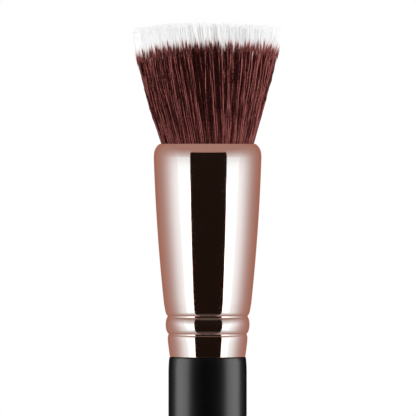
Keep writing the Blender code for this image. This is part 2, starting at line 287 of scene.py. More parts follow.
@dataclass(frozen=True)
class RoseGold(Finish):
    """Polished rose-gold metal."""

    name: str = "rose_gold"
    colour: Colour = (0.94, 0.62, 0.53)
    rim_colour: Colour = (0.94, 0.62, 0.53)
    dark_share: float = 0.955
    roughness: float = 0.06
    roughness_spread: float = 0.04
    line_share: float = 0.6
    line_scale: float = 2600
    line_stretch: Triple = (1, 1, 0.04)
    line_depth: float = 0.02 * MM
    line_strength: float = 0.08
    haze_scale: float = 180
    tone_scale: float = 90
    tone_stretch: Triple = (1, 1, 0.3)

    def surface(self, graph: Graph) -> Signal:
        """Shader with faint polishing lines along the metal.

        Args:
            graph: Graph of the material.

        Returns:
            The shader.
        """
        place = graph.object_place()
        lines = graph.noise(graph.stretched(place, self.line_stretch), self.line_scale, 4)
        haze = graph.noise(place, self.haze_scale, 3)
        rough = self.roughness + haze.swing(self.roughness_spread)
        rough = rough + lines.swing(self.roughness_spread * self.line_share)
        tone = graph.noise(graph.stretched(place, self.tone_stretch), self.tone_scale, 2)
        darker = scaled(self.colour, self.dark_share)
        return principled(
            graph, Base_Color=graph.between(tone, NOISE_MIDDLE, darker, self.colour),
            Metallic=1.0, Roughness=rough, Specular_Tint=rgba(self.rim_colour),
            Normal=graph.bump(lines, self.line_depth, self.line_strength))


@dataclass(frozen=True)
class SatinLacquer(Finish):
    """Black satin lacquer over turned wood."""

    name: str = "black_satin_lacquer"
    colour: Colour = (0.0004, 0.0004, 0.0004)
    light_share: float = 1.8
    roughness: float = 0.34
    cloud_spread: float = 0.08
    cloud_scale: float = 220
    cloud_stretch: Triple = (1, 1, 0.35)
    peel_spread: float = 0.04
    peel_scale: float = 1500
    peel_depth: float = 0.03 * MM
    peel_strength: float = 0.10

    def surface(self, graph: Graph) -> Signal:
        """Shader with a fine orange-peel surface.

        Args:
            graph: Graph of the material.

        Returns:
            The shader.
        """
        place = graph.object_place()
        peel = graph.noise(place, self.peel_scale, 2)
        cloud = graph.noise(graph.stretched(place, self.cloud_stretch), self.cloud_scale, 4)
        rough = self.roughness + cloud.swing(self.cloud_spread) + peel.swing(self.peel_spread)
        lighter = scaled(self.colour, self.light_share)
        return principled(
            graph, Base_Color=graph.between(cloud, (0.4, 0.7), self.colour, lighter),
            Roughness=rough, IOR=1.5,
            Normal=graph.bump(peel, self.peel_depth, self.peel_strength))


@dataclass(frozen=True)
class Filament:
    """Two-tone synthetic filament: red-brown with a white tip, and a blush between them.

    The hair's UV map holds its tone across, which carries painted shade and painted sheen as well
    as tone, and the distance from its tip up.
    """

    # Tone runs dark, brown, pale: strands differ at random, the dark end is painted shade and the
    # pale end is painted sheen.
    brown: Colour = (0.082, 0.0120, 0.0098)
    dark: Colour = (0.010, 0.0008, 0.0006)
    pale: Colour = (0.520, 0.165, 0.150)
    # root: painted reflected light from the ferrule, which makes the hair paler near the rim.
    root: Colour = (0.320, 0.100, 0.090)
    white: Colour = (0.96, 0.96, 0.96)
    blush: Colour = (0.80, 0.56, 0.54)
    blush_share: float = 1.2
    ferrule_light_reach: Point = (0.50, 0.95)
    ferrule_light_share: float = 0.7
    fleck_scale: Triple = (45.0, 100.0, 1.0)
    fleck_depth: float = 3.4
    roughness: float = 0.5
    gloss: float = 0.03

    def material(self, white_from: float, white_to: float) -> bpy.types.Material:
        """Build the material.

        Args:
            white_from: Share of the strand, from its tip, at which white starts to fade.
            white_to: Share at which it is all brown.

        Returns:
            The material, which reads the hair's UV map.
        """
        made = bpy.data.materials.new("two_tone_filament")
        graph = Graph(made)
        uv = graph.node("ShaderNodeUVMap", {"uv_map": HAIR_MAP})
        parts = graph.node("ShaderNodeSeparateXYZ", None, uv, output="X")
        down = Signal(graph, parts.socket.node.outputs["Y"])
        flecks = graph.noise(graph.stretched(uv, self.fleck_scale), 1.0, 2.0)
        shade = parts + flecks.swing(self.fleck_depth)
        # Dark to brown to pale: tone that differs, with painted shade and painted sheen.
        low = graph.between(shade, (0.0, 0.5), self.dark, self.brown)
        tone = graph.mix_colour(shade.ramp(0.5, 1.0), low, rgba(self.pale))
        # Painted light: the paler strands turn paler still towards the ferrule, as if lit by its
        # reflection.
        ferrule_lit = graph.mix_colour(down.ramp(*self.ferrule_light_reach) * parts * self.ferrule_light_share, tone,
                                  rgba(self.root))
        blush_from = white_from - (white_to - white_from) * self.blush_share
        tinted = graph.between(down, (blush_from, white_to), self.white, self.blush)
        dyed = graph.mix_colour(down.ramp(white_from, white_to), tinted, ferrule_lit)
        graph.finish_surface(principled(graph, Base_Color=dyed, Roughness=self.roughness,
                                        Specular_IOR_Level=self.gloss))
        return made


@dataclass(frozen=True)
class Cured(Finish):
    """Cured resin or adhesive, slightly cloudy."""

    name: str
    colour: Colour
    roughness: float
    roughness_spread: float = 0.15
    dark_share: float = 0.72
    cloud_scale: float = 420
    skin_scale: float = 160
    skin_depth: float = 0.1 * MM
    skin_strength: float = 0.25

    def surface(self, graph: Graph) -> Signal:
        """Shader with small bubbles under a wavy skin.

        Args:
            graph: Graph of the material.

        Returns:
            The shader.
        """
        place = graph.object_place()
        cloud = graph.noise(place, self.cloud_scale, 4)
        skin = graph.noise(place, self.skin_scale, 2)
        darker = scaled(self.colour, self.dark_share)
        return principled(
            graph, Base_Color=graph.between(cloud, NOISE_MIDDLE, darker, self.colour),
            Roughness=self.roughness + cloud.swing(self.roughness_spread), IOR=1.52,
            Normal=graph.bump(skin, self.skin_depth, self.skin_strength))


@dataclass(frozen=True)
class Thread(Finish):
    """Waxed cotton thread, twisted from fine plies."""

    name: str = "waxed_thread"
    colour: Colour = (0.55, 0.51, 0.44)
    dark_share: float = 0.55
    ply_scale: float = 1400.0
    ply_waver: float = 1.5
    ply_depth: float = 0.08 * MM
    ply_strength: float = 0.6

    def surface(self, graph: Graph) -> Signal:
        """Shader with plies that slant across the thread.

        Args:
            graph: Graph of the material.

        Returns:
            The shader.
        """
        plies = graph.node("ShaderNodeTexWave", {"bands_direction": "DIAGONAL"},
                           graph.object_place(), output=1, Scale=self.ply_scale,
                           Distortion=self.ply_waver, Detail=2.0)
        darker = scaled(self.colour, self.dark_share)
        return principled(
            graph, Base_Color=graph.between(plies, (0.1, 0.9), darker, self.colour),
            Roughness=0.7, Normal=graph.bump(plies, self.ply_depth, self.ply_strength))


@dataclass(frozen=True)
class Packed(Finish):
    """Filaments packed side by side, seen as fine lines or dots."""

    name: str
    light: Colour
    dark: Colour
    limits: Point
    scale: float
    stretch: Triple
    detail: int
    depth: float
    strength: float
    roughness: float

    def surface(self, graph: Graph) -> Signal:
        """Shader with a fine grain.

        Args:
            graph: Graph of the material.

        Returns:
            The shader.
        """
        place = graph.stretched(graph.object_place(), self.stretch)
        grain = graph.noise(place, self.scale, self.detail)
        return principled(
            graph, Base_Color=graph.between(grain, self.limits, self.dark, self.light),
            Roughness=self.roughness, Normal=graph.bump(grain, self.depth, self.strength))


# Side of the filaments inside the ferrule, soaked with resin.
RESINED_SIDE = Packed(
    name="packed_filament", light=(0.16, 0.055, 0.045), dark=(0.035, 0.010, 0.008),
    limits=NOISE_MIDDLE, scale=5200, stretch=(1, 1, 0.03), detail=3, depth=0.08 * MM,
    strength=0.7, roughness=0.5)
# White ends, as deep as one sees between the tips; the darker dots of their grain are painted
# shade between the ends.
WHITE_ENDS = Packed(
    name="packed_tips", light=(0.94, 0.94, 0.94), dark=(0.56, 0.55, 0.55), limits=(0.35, 0.6),
    scale=2400, stretch=(1, 1, 1), detail=2, depth=0.3 * MM, strength=1.0, roughness=0.7)


# Modelling helpers


def deselect_all() -> None:
    """Leave nothing selected, in object mode."""
    if bpy.context.mode != "OBJECT":
        bpy.ops.object.mode_set(mode="OBJECT")
    bpy.ops.object.select_all(action="DESELECT")


def settle(piece: bpy.types.Object) -> bpy.types.Object:
    """Apply a piece's place to its mesh, so that its object sits at the origin.

    Args:
        piece: The piece.

    Returns:
        The same piece.
    """
    deselect_all()
    piece.select_set(True)
    bpy.context.view_layer.objects.active = piece
    bpy.ops.object.transform_apply(location=True, rotation=True, scale=True)
    return piece


def turned(name: str, outline: Sequence[Point], steps: int, closed: bool = False,
           angle: float = math.tau, crease: float = 30.0) -> bpy.types.Object:
    """Turn an outline about the Z axis, as on a lathe.

    Args:
        name: Name of the piece.
        outline: (radius, height) points in metres.
        steps: Number of steps round the axis.
        closed: Whether the last point joins the first, as on a ring.
        angle: How far the outline is turned, in radians.
        crease: Angle between faces, in degrees, above which an edge stays sharp.

    Returns:
        The turned piece.
    """
    deselect_all()
    points = [Vector((radius, 0, height)) for radius, height in outline]
    if closed:
        points.append(points[0])
    bpy.ops.mesh.primitive_plane_add(size=MM, location=points[0])
    piece = bpy.context.object
    piece.name = piece.data.name = name
    bpy.ops.object.mode_set(mode="EDIT")
    bpy.ops.mesh.select_mode(type="VERT")
    bpy.ops.mesh.select_all(action="SELECT")
    bpy.ops.mesh.merge(type="CENTER")
    for here, there in zip(points, points[1:]):
        bpy.ops.mesh.extrude_region_move(TRANSFORM_OT_translate={"value": there - here})
    bpy.ops.mesh.select_all(action="SELECT")
    bpy.ops.mesh.spin(steps=steps, angle=-angle, center=(0, 0, 0), axis=(0, 0, 1),
                      use_auto_merge=False)
    bpy.ops.mesh.select_all(action="SELECT")
    bpy.ops.mesh.remove_doubles(threshold=WELD)
    bpy.ops.mesh.normals_make_consistent(inside=False)
    bpy.ops.object.mode_set(mode="OBJECT")
    bpy.ops.object.shade_smooth_by_angle(angle=math.radians(crease))
    return settle(piece)


def place_piece(piece: bpy.types.Object, material: bpy.types.Material, slot: Slot,
                *nodes: str) -> bpy.types.Object:
    """Dress a piece, fix it to the brush and hide the solids that it stands for.

    Args:
        piece: The finished piece.
        material: Its material.
        slot: The record's material slot; not used.
        nodes: Names of the CAD nodes that it replaces.

    Returns:
        The same piece.
    """
    piece.data.materials.clear()
    piece.data.materials.append(material)
    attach(piece, BODY)
    if nodes:
        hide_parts(*nodes)
    LOG.info("%s: %d faces", piece.name, len(piece.data.polygons))
    return piece


def rounding(centre: Point, size: Point, first: float, last: float, count: int) -> list[Point]:
    """Points on an elliptical corner.

    Args:
        centre: Radius and height of the corner's centre.
        size: Its half width and half height.
        first: Angle of the first point, in degrees from +radius towards +height.
        last: Angle of the last point.
        count: Number of points.

    Returns:
        The points from the first angle to the last.
    """
    found = []
    for i in range(count):
        turn = math.radians(blend(first, last, i / (count - 1)))
        found.append((centre[0] + size[0] * math.cos(turn), centre[1] + size[1] * math.sin(turn)))
    return found


# Sub-assemblies


@dataclass
class Ferrule:
    """Tapered metal tube with a rolled rim and two rolled grooves.

    Heights count up from the foot. The outlines of the shoulder and of the part below the body
    are given in millimetres, as (height, radius).
    """

    steps: int = 192
    wall: float = 0.5 * MM
    mouth: float = 11.2 * MM
    top_radius: float = 12.955 * MM
    body_foot_radius: float = 10.51 * MM
    body_foot: float = 12.9 * MM
    bend: float = 0.54
    rim_height: float = 3.29 * MM
    crest_width: float = 0.1 * MM
    lip_round: float = 0.3 * MM
    lip_depth: float = 1.3 * MM
    foot_round: float = 0.1 * MM
    crest_fall: Point = (0.1 * MM, 0.07 * MM)
    shoulder_count: int = 20
    body_count: int = 24
    rolled_shares: Triple = (0.34, 0.67, 1.0)
    bore_every: tuple[int, int] = (4, 3)
    shoulder: tuple[Point, ...] = (
        (51.03, 11.81), (50.79, 12.06), (50.55, 12.25), (50.31, 12.41), (50.07, 12.545),
        (49.83, 12.655), (49.59, 12.745), (49.11, 12.865), (48.63, 12.925), (47.91, 12.955),
        (46.5, 12.908))
    rolled: tuple[Point, ...] = (
        (12.9, 10.51), (12.2, 10.39), (11.7, 10.305), (11.23, 10.22), (10.85, 10.14),
        (10.55, 10.05), (10.3, 9.94), (10.12, 9.82), (10.0, 9.73), (9.97, 9.69), (9.92, 9.68),
        (9.68, 9.68), (9.63, 9.69), (9.57, 9.73), (9.44, 9.81), (9.25, 9.90), (8.95, 9.98),
        (8.5, 10.05), (8.1, 10.085), (7.75, 10.095), (7.3, 10.07), (6.85, 10.0), (6.45, 9.90),
        (6.15, 9.79), (5.92, 9.68), (5.76, 9.57), (5.67, 9.49), (5.63, 9.445), (5.58, 9.435),
        (5.39, 9.435), (5.34, 9.445), (5.27, 9.48), (5.13, 9.53), (4.93, 9.57), (4.6, 9.585),
        (4.2, 9.58), (3.6, 9.535), (2.6, 9.42), (1.6, 9.29), (0.8, 9.18), (0.21, 9.09))
    finish: RoseGold = RoseGold()

    def __post_init__(self) -> None:
        """Read the ferrule's place from the frame."""
        low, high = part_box("ferrule")
        self.foot = low.z
        self.length = high.z - low.z
        self.body_top = self.length - self.rim_height

    def body_radius(self, height: float) -> float:
        """Outer radius of the tapered body.

        Args:
            height: Height above the foot.

        Returns:
            The radius.
        """
        down = (self.body_top - height) / (self.body_top - self.body_foot)
        drop = self.bend * down * down + (1 - self.bend) * down
        return blend(self.top_radius, self.body_foot_radius, drop)

    def radius_through(self, outline: Sequence[Point], height: float) -> float:
        """Outer radius on a smooth curve through points, which doesn't overshoot.

        Args:
            outline: The points, from the top down.
            height: Height above the foot.

        Returns:
            The radius.
        """
        points = [(h * MM, r * MM) for h, r in outline]
        slopes = []
        for (h0, r0), (h1, r1) in zip(points, points[1:]):
            slopes.append((r1 - r0) / (h1 - h0))
        tangents = [slopes[0]]
        for before, after in zip(slopes, slopes[1:]):
            same_way = before * after > 0
            tangents.append(2 * before * after / (before + after) if same_way else 0.0)
        tangents.append(slopes[-1])
        last = len(points) - 2
        i = next((i for i in range(last) if height >= points[i + 1][0]), last)
        (h0, r0), (h1, r1) = points[i], points[i + 1]
        span = h1 - h0
        t = (height - h0) / span
        return ((2 * t ** 3 - 3 * t ** 2 + 1) * r0 + (t ** 3 - 2 * t ** 2 + t) * span * tangents[i]
                + (3 * t ** 2 - 2 * t ** 3) * r1 + (t ** 3 - t ** 2) * span * tangents[i + 1])

    def outline(self) -> list[Point]:
        """Closed outline of the wall, from the rim's crest down the outside and up the bore.

        Returns:
            (radius, height) points in metres.
        """
        crest = self.mouth + self.lip_round + self.crest_width
        out, down = self.crest_fall
        points = [(crest, self.length), (crest + out, self.length - down)]
        upper, lower = self.shoulder[0][0], self.shoulder[-2][0]
        shoulder = [float(h) * MM for h in np.linspace(upper, lower, self.shoulder_count)[:-1]]
        points += [(self.radius_through(self.shoulder, h), h) for h in shoulder]
        body = [float(h) for h in np.linspace(self.body_top, self.body_foot, self.body_count)]
        points += [(self.body_radius(h), h) for h in body]
        rolled = []
        for (upper, _), (lower, _) in zip(self.rolled, self.rolled[1:]):
            rolled += [blend(upper, lower, share) * MM for share in self.rolled_shares]
        points += [(self.radius_through(self.rolled, h), h) for h in rolled]
        foot_radius, lowest = points[-1]
        points += rounding((foot_radius - self.foot_round, lowest),
                           (self.foot_round, self.foot_round), -18, -90, 5)
        rolled_every, body_every = self.bore_every
        bore = [lowest - self.foot_round, *reversed(rolled[3::rolled_every])]
        points += [(self.radius_through(self.rolled, max(h, lowest)) - self.wall, h)
                   for h in bore]
        points += [(self.body_radius(h) - self.wall, h) for h in reversed(body[::body_every])]
        inside = self.body_radius(self.body_top) - self.wall
        points.append((inside, self.length - self.lip_depth - (inside - self.mouth) / 2))
        points.append((self.mouth, self.length - self.lip_depth))
        points += rounding((self.mouth + self.lip_round, self.length - self.lip_round),
                           (self.lip_round, self.lip_round), 180, 90, 6)
        return [(radius, height + self.foot) for radius, height in points]

    def build(self) -> None:
        """Make the ferrule."""
        piece = turned("ferrule_polished", self.outline(), self.steps, closed=True)
        place_piece(piece, self.finish.material(), Slot.FERRULE, "ferrule")


@dataclass
class Handle:
    """Turned wooden handle with its tenon, under satin lacquer."""

    steps: int = 160
    radius: float = 9.4 * MM
    straight: float = 13.0 * MM
    end_radius: float = 6.4 * MM
    end_round: float = 2.1 * MM
    belly: float = 1.72
    shoulder: float = 96.31 * MM
    shoulder_steps: tuple[Point, ...] = ((0.30, 0.0), (0.225, 0.10), (0.17, 0.40),
                                         (0.12, 0.80), (0.06, 1.60), (0.02, 2.60), (0.0, 3.4))
    taper_count: int = 24
    tenon_radius: float = 7.88 * MM
    tenon_chamfer: float = 0.8 * MM
    finish: SatinLacquer = SatinLacquer()

    def outline(self) -> list[Point]:
        """Outline from the tenon's top down the side to the flat end.

        Returns:
            (radius, height) points in metres.
        """
        low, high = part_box("handle")
        points = [(0, high.z), (self.tenon_radius - self.tenon_chamfer, high.z),
                  (self.tenon_radius, high.z - self.tenon_chamfer),
                  (self.tenon_radius, self.shoulder)]
        points += [(self.radius - inset * MM, self.shoulder - down * MM)
                   for inset, down in self.shoulder_steps]
        straight_foot = self.shoulder - self.straight
        for share in np.linspace(0, 1, self.taper_count).tolist():
            points.append((blend(self.radius, self.end_radius, share ** self.belly),
                           blend(straight_foot, self.end_round, share)))
        points += rounding((self.end_radius - self.end_round, self.end_round),
                           (self.end_round, self.end_round), -9, -90, 9)
        points.append((0, low.z))
        return points

    def build(self) -> bpy.types.Object:
        """Make the handle."""
        piece = turned("handle_lacquered", self.outline(), self.steps)
        return place_piece(piece, self.finish.material(), Slot.HANDLE, "handle")


# Steps that spread places or tones evenly: the golden angle, and the golden and plastic ratios
GOLDEN_TURN = math.pi * (3 - math.sqrt(5))
GOLDEN_SHARE = 0.618034
PLASTIC_SHARE = 0.7548777


def azimuths(flat: np.ndarray) -> np.ndarray:
    """Angles of places from the front, which grow to the right."""
    return np.arctan2(flat[:, 0], -flat[:, 1])


def hump(across: np.ndarray, middle: float, width: float) -> np.ndarray:
    """Smooth hump 1 high round a middle."""
    return np.exp(-((across - middle) / width) ** 2)


def rise(values: np.ndarray, start: float, length: float) -> np.ndarray:
    """0 up to a start, and 1 from a length after it."""
    return np.clip((values - start) / length, 0, 1)


@dataclass
class Strands:
    """Strands of hair, all with the same number of levels.

    Points are (strand, level, 3), radii (strand, level) and map places (strand, level, 2).
    """

    places: np.ndarray
    points: np.ndarray
    radii: np.ndarray
    maps: np.ndarray
    sides: int = 3
    map_width: float = 0.012
    turn_step: float = 2.4
    tip_length: float = 2.0

    @classmethod
    def stacked(cls, places: np.ndarray,
                levels: Iterable[tuple[np.ndarray, np.ndarray, np.ndarray]]) -> "Strands":
        """Strands from their levels.

        Args:
            places: Place of each strand in the disc of radius 1.
            levels: Points, radii and map places of each level, from the root up.

        Returns:
            The strands.
        """
        points, radii, maps = (np.stack(parts, 1) for parts in zip(*levels))
        return cls(places, points, radii, maps)

    def chosen(self, keep: np.ndarray) -> "Strands":
        """Those of the strands that are to be kept."""
        return Strands(self.places[keep], self.points[keep], self.radii[keep], self.maps[keep])

    def surface(self) -> tuple[np.ndarray, np.ndarray, np.ndarray, np.ndarray]:
        """Mesh data of the strands, each closed at both ends.

        Returns:
            Corners' places, the faces' corners, the faces' sizes and the corners' map places.
        """
        count, levels = self.radii.shape
        turns = (np.arange(self.sides) * math.tau / self.sides
                 + np.arange(count)[:, None] * self.turn_step)
        ring = np.stack([np.cos(turns), np.sin(turns), np.zeros_like(turns)], 2)
        rings = self.points[:, :, None] + ring[:, None] * self.radii[:, :, None, None]
        tips = self.points[:, -1:] + np.array([0, 0, self.tip_length]) * self.radii[:, -1:, None]
        verts = np.concatenate([rings.reshape(count, -1, 3), tips], 1)
        base = np.arange(count)[:, None, None] * verts.shape[1]
        quads, levels_of = [], []
        for level in range(levels - 1):
            for side in range(self.sides):
                low, high = level * self.sides, (level + 1) * self.sides
                after = (side + 1) % self.sides
                quads.append([low + side, low + after, high + after, high + side])
                levels_of.append([level, level, level + 1, level + 1])
        top, tip = (levels - 1) * self.sides, levels * self.sides
        caps = [[top + side, top + (side + 1) % self.sides, tip] for side in range(self.sides)]
        caps.append([2, 1, 0])
        half = self.map_width
        quad_maps = self.maps[:, np.array(levels_of)] + np.array(
            [[-half, 0], [half, 0], [half, 0], [-half, 0]])
        cap_levels = np.array([[levels - 1] * 3] * self.sides + [[0] * 3])
        cap_maps = self.maps[:, cap_levels] + np.array([[-half, half], [half, half], [0, -half]])
        corners = np.concatenate([(np.array(quads) + base).ravel(),
                                  (np.array(caps) + base).ravel()])
        sizes = np.concatenate([np.full(count * len(quads), 4), np.full(count * len(caps), 3)])
        maps = np.concatenate([quad_maps.reshape(-1, 2), cap_maps.reshape(-1, 2)])
        return verts.reshape(-1, 3), corners, sizes, maps


@dataclass
class Tuft:
    """Dense flared tuft of fine two-tone filaments, built strand by strand.

    Heights count up from the ferrule's rim, in metres. Places are points of a disc of radius 1,
    the tuft seen from above, and azimuths grow from the front to the right, in radians.
    """

    # Form of the tuft and what its map covers
    seed: int = 5
    tooth_seed: int = 7
    rim: float = RIM
    height: float = 28.95 * MM
    root_depth: float = 3.0 * MM
    map_spare: float = 3 * MM
    map_tone: Point = (0.02, 0.95)
    map_level: Point = (0.01, 0.99)
    root_radius: float = 10.30 * MM
    mouth_radius: float = 11.15 * MM
    flare: float = 0.360
    flare_bend: float = 3.7
    lean: float = 0.22 * MM
    lean_rise: float = 4
    lean_fall: Point = (0.95, 0.25)
    side_drop: Point = (1.40 * MM, 1.55 * MM)
    side_power: Point = (1.6, 3.2)
    front_drop: float = 0.08 * MM
    edge_drop: float = 0.35 * MM
    edge_power: int = 16
    corner_radius: float = 1.0 * MM
    corner_share: float = 0.93
    corner_reach: float = 0.96

    # Taper of each strand
    taper_length: float = 2.5 * MM
    taper_least: float = 0.35
    taper_power: float = 0.7
    swell: Point = (0.85, 0.30)
    tip_scatter: float = 0.08 * MM

    # Packed strands
    strands: int = 13000
    strand_jitter: float = 0.55
    strand_wander: float = 0.010
    clumps: int = 4500
    clump_jitter: float = 0.6
    spiral_share: float = 0.945
    thickness: Point = (0.060 * MM, 0.100 * MM)
    hold: float = 0.55
    hold_rise: float = 1.5
    hold_loss: float = 0.7
    # The strands under the locks get a dark tone: painted shade inside the tuft.
    deep_tone: float = 0.10
    deep_dye: Point = (-0.6 * MM, 0.35 * MM)
    outer_share: float = 0.72
    outer_levels: int = 7
    inner_levels: int = 6
    core_share: float = 0.45
    short_share: float = 0.95
    core_start: float = 6 * MM

    # Outer locks: each ring has a number, a share of the radius, strands a lock, a shift and a
    # share of the tone, smaller in the inner ring as painted shade, and each wave has its least
    # and most waves, its depth and its sway
    lock_rings: tuple[tuple[int, float, int, float, float], ...] = (
        (440, 0.990, 4, 0.00, 1.0), (380, 0.968, 4, 0.38, 0.62))
    lock_jitter: float = 0.32
    lock_depth: float = 0.006
    lock_width: Point = (0.025 * MM, 0.06 * MM)
    lock_opening: Point = (0.85, 0.8)
    lock_thickness: Point = (0.045 * MM, 0.072 * MM)
    lock_levels: int = 14
    lock_skew: float = 0.030
    lock_rise: float = 5
    strand_skew: float = 0.007
    lock_waves: tuple[tuple[float, float, float, float], ...] = (
        (1.2, 2.6, 0.026, 0.12), (4.0, 6.5, 0.010, 0.05))
    tone_middle: float = 0.24
    tone_spread: float = 2.0
    tone_jitter: Triple = (0.06, 0.03, 0.06)
    # Brightness that rises and falls along each lock: tone that differs, and painted glints.
    tone_and_glint_wave: Triple = (2.0, 6.5, 0.30)
    lock_dye_scatter: float = 0.35 * MM
    long_tips: Triple = (0.12, 0.5 * MM, 2.2 * MM)

    # Short ends
    fluff: int = 9000
    fluff_jitter: float = 0.5
    fringe: int = 13000
    fringe_share: float = 0.92
    fluff_tip_scatter: float = 0.07 * MM
    fluff_extra: Point = (1.3 * MM, 0.6 * MM)
    fluff_tone: Point = (0.2, 1)
    fluff_dye_scatter: float = 0.30 * MM
    fluff_wander: float = 0.005
    fluff_thickness: Point = (0.060 * MM, 0.085 * MM)
    fluff_taper: Triple = (0.35, 2, 1.6)
    inner_fluff: float = 1.45
    inner_fluff_to: float = 0.95
    fluff_levels: int = 4

    # The line between white and brown
    dye_length: float = 4.25 * MM
    dye_side_extra: Point = (0.55 * MM, 0.1 * MM)
    dye_tilt: float = 0.6 * MM
    dye_fade: float = 0.40 * MM
    tooth_count: int = 330
    tooth_depth: Point = (0.55 * MM, 0.85 * MM)
    teeth_middle: Point = (0.12, 0.62)

    # Painted light and shade round the tuft, and partings, each with its azimuth and its turn
    side_bias: float = 0.07
    painted_right_light: float = 0.27
    right_reach: Point = (0.35, 0.5)
    painted_front_shade: float = 0.27
    front_middle: Point = (0.05, 0.5)
    twist: float = 0.20
    twist_middle: Point = (0.15, 0.85)
    partings: tuple[Point, ...] = ((0.27, 0.036), (0.09, 0.030), (-0.045, 0.024), (-0.20, 0.014),
                                   (0.45, 0.014))
    parting_width: float = 0.048
    parting_edge: float = 3
    parting_skin: float = 0.2
    # How dark the painted shade in the partings is.
    parting_shade_depth: float = 11.0
    parting_reach: Point = (0.10, 0.90)
    parting_fade: Point = (0.2, 0.1)

    # Pieces, and the bed of packed ends
    wedges: int = 6
    bed_share: float = 0.955
    bed_depth: float = 0.45 * MM
    bed_wall: float = 2.6 * MM
    bed_rings: int = 24
    bed_steps: int = 96
    finish: Filament = Filament()
    bed_finish: Packed = WHITE_ENDS

    def __post_init__(self) -> None:
        """Work out the length that the map covers, and the brown's teeth."""
        self.span = self.height + self.root_depth + self.map_spare
        self.teeth = np.random.default_rng(self.tooth_seed).normal(0, 1, self.tooth_count)

    def outer_radius(self, height: np.ndarray) -> np.ndarray:
        """Radius of the outermost hair.

        Args:
            height: Heights above the rim.

        Returns:
            The radius at each height.
        """
        flared = self.mouth_radius + self.flare * height - self.flare_bend * height ** 2
        narrowing = self.mouth_radius - self.root_radius
        below = self.mouth_radius + height * narrowing / self.root_depth
        return np.where(height > 0, flared, below)

    def spiral(self, count: int, jitter: float, noise: np.random.Generator) -> np.ndarray:
        """Even but irregular places.

        Args:
            count: Number of places.
            jitter: Irregularity, as a share of the places' spacing.
            noise: Source of the irregularity.

        Returns:
            The places.
        """
        index = np.arange(count) + 0.5
        radius, turn = np.sqrt(index / count), index * GOLDEN_TURN
        places = np.stack([radius * np.cos(turn), radius * np.sin(turn)], 1)
        return places + noise.normal(0, jitter / math.sqrt(count), places.shape)

    def nearest(self, places: np.ndarray, centres: np.ndarray) -> np.ndarray:
        """Find the centre nearest to each place.

        Args:
            places: The places.
            centres: The centres.

        Returns:
            Index of each place's centre.
        """
        tree = kdtree.KDTree(len(centres))
        for i, (x, y) in enumerate(centres):
            tree.insert((x, y, 0), i)
        tree.balance()
        return np.array([tree.find((x, y, 0))[1] for x, y in places])

    def tip_heights(self, places: np.ndarray) -> np.ndarray:
        """Heights of the tips on the domed top.

        Args:
            places: The tips' places.

        Returns:
            The heights.
        """
        share = np.clip(np.linalg.norm(places, axis=1), 0, 1)
        left = places[:, 0] < 0
        across = np.clip(np.abs(places[:, 0]), 0, 1) ** np.where(left, *self.side_power)
        corner = np.clip((share - self.corner_share) / (1 - self.corner_share), 0,
                         self.corner_reach)
        return (self.height - np.where(left, *self.side_drop) * across
                - self.front_drop * places[:, 1] ** 2 - self.edge_drop * share ** self.edge_power
                - self.corner_radius * (1 - np.sqrt(1 - corner ** 2)))

    def cut_tips(self, places: np.ndarray, scatter: float,
                 noise: np.random.Generator) -> np.ndarray:
        """Heights of tips that end a little below the top.

        Args:
            places: The tips' places.
            scatter: How much their heights differ.
            noise: Source of the difference.

        Returns:
            The heights.
        """
        return self.tip_heights(places) - np.abs(noise.normal(0, scatter, len(places)))

    def set_down(self, flat: np.ndarray, height: np.ndarray) -> np.ndarray:
        """Put places at their heights in the flared tuft.

        Args:
            flat: The places.
            height: Their heights above the rim.

        Returns:
            Points in space.
        """
        up = np.clip(height / self.height, 0, 1)
        flat = flat / np.maximum(np.linalg.norm(flat, axis=1), 1.0)[:, None]
        turn = self.turn_at(flat, up)
        cos, sin = np.cos(turn), np.sin(turn)
        outer = self.outer_radius(height)
        top, length = self.lean_fall
        lean = (self.lean * np.minimum(1, up * self.lean_rise)
                * np.clip((top - up) / length, 0, 1))
        x = (flat[:, 0] * cos - flat[:, 1] * sin) * outer - lean
        y = (flat[:, 0] * sin + flat[:, 1] * cos) * outer
        return np.stack([x, y, height + self.rim], 1)

    def strand_radius(self, size: np.ndarray, down: np.ndarray, up: np.ndarray) -> np.ndarray:
        """Radius of strands, which thin out towards their tips.

        Args:
            size: Radius of each strand's stem.
            down: How far below its tip the point is.
            up: The point's height as a share of the tuft's.

        Returns:
            The radius.
        """
        taper = np.clip(down / self.taper_length, self.taper_least, 1) ** self.taper_power
        least, more = self.swell
        return size * taper * (least + more * up)

    def dye_extra(self, places: np.ndarray) -> np.ndarray:
        """How much longer than in the middle the white is towards the sides."""
        across = places[:, 0]
        return np.where(across < 0, *self.dye_side_extra) * across ** 2 - self.dye_tilt * across

    def map_place(self, tone: np.ndarray, down: np.ndarray, places: np.ndarray) -> np.ndarray:
        """Map place of points.

        Args:
            tone: Tone of each point, from 0 to 1.
            down: How far below the tips the point is.
            places: Places of the strands.

        Returns:
            The map places.
        """
        level = (down - self.dye_extra(places)) / self.span
        least, width = self.map_tone
        return np.stack([least + width * tone, np.clip(level, *self.map_level)], 1)

    def grow(self, noise: np.random.Generator) -> list[Strands]:
        """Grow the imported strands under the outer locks, held together in fine clumps.

        Args:
            noise: Source of the irregularity.

        Returns:
            The outer strands, in fine steps, and the inner ones in coarse steps.
        """
        places = self.spiral(self.strands, self.strand_jitter, noise) * self.spiral_share
        centres = self.spiral(self.clumps, self.clump_jitter, noise) * self.spiral_share
        clump = self.nearest(places, centres)
        count, own = len(places), centres[clump]
        share = np.linalg.norm(places, axis=1)
        tips = self.cut_tips(places, self.tip_scatter, noise)
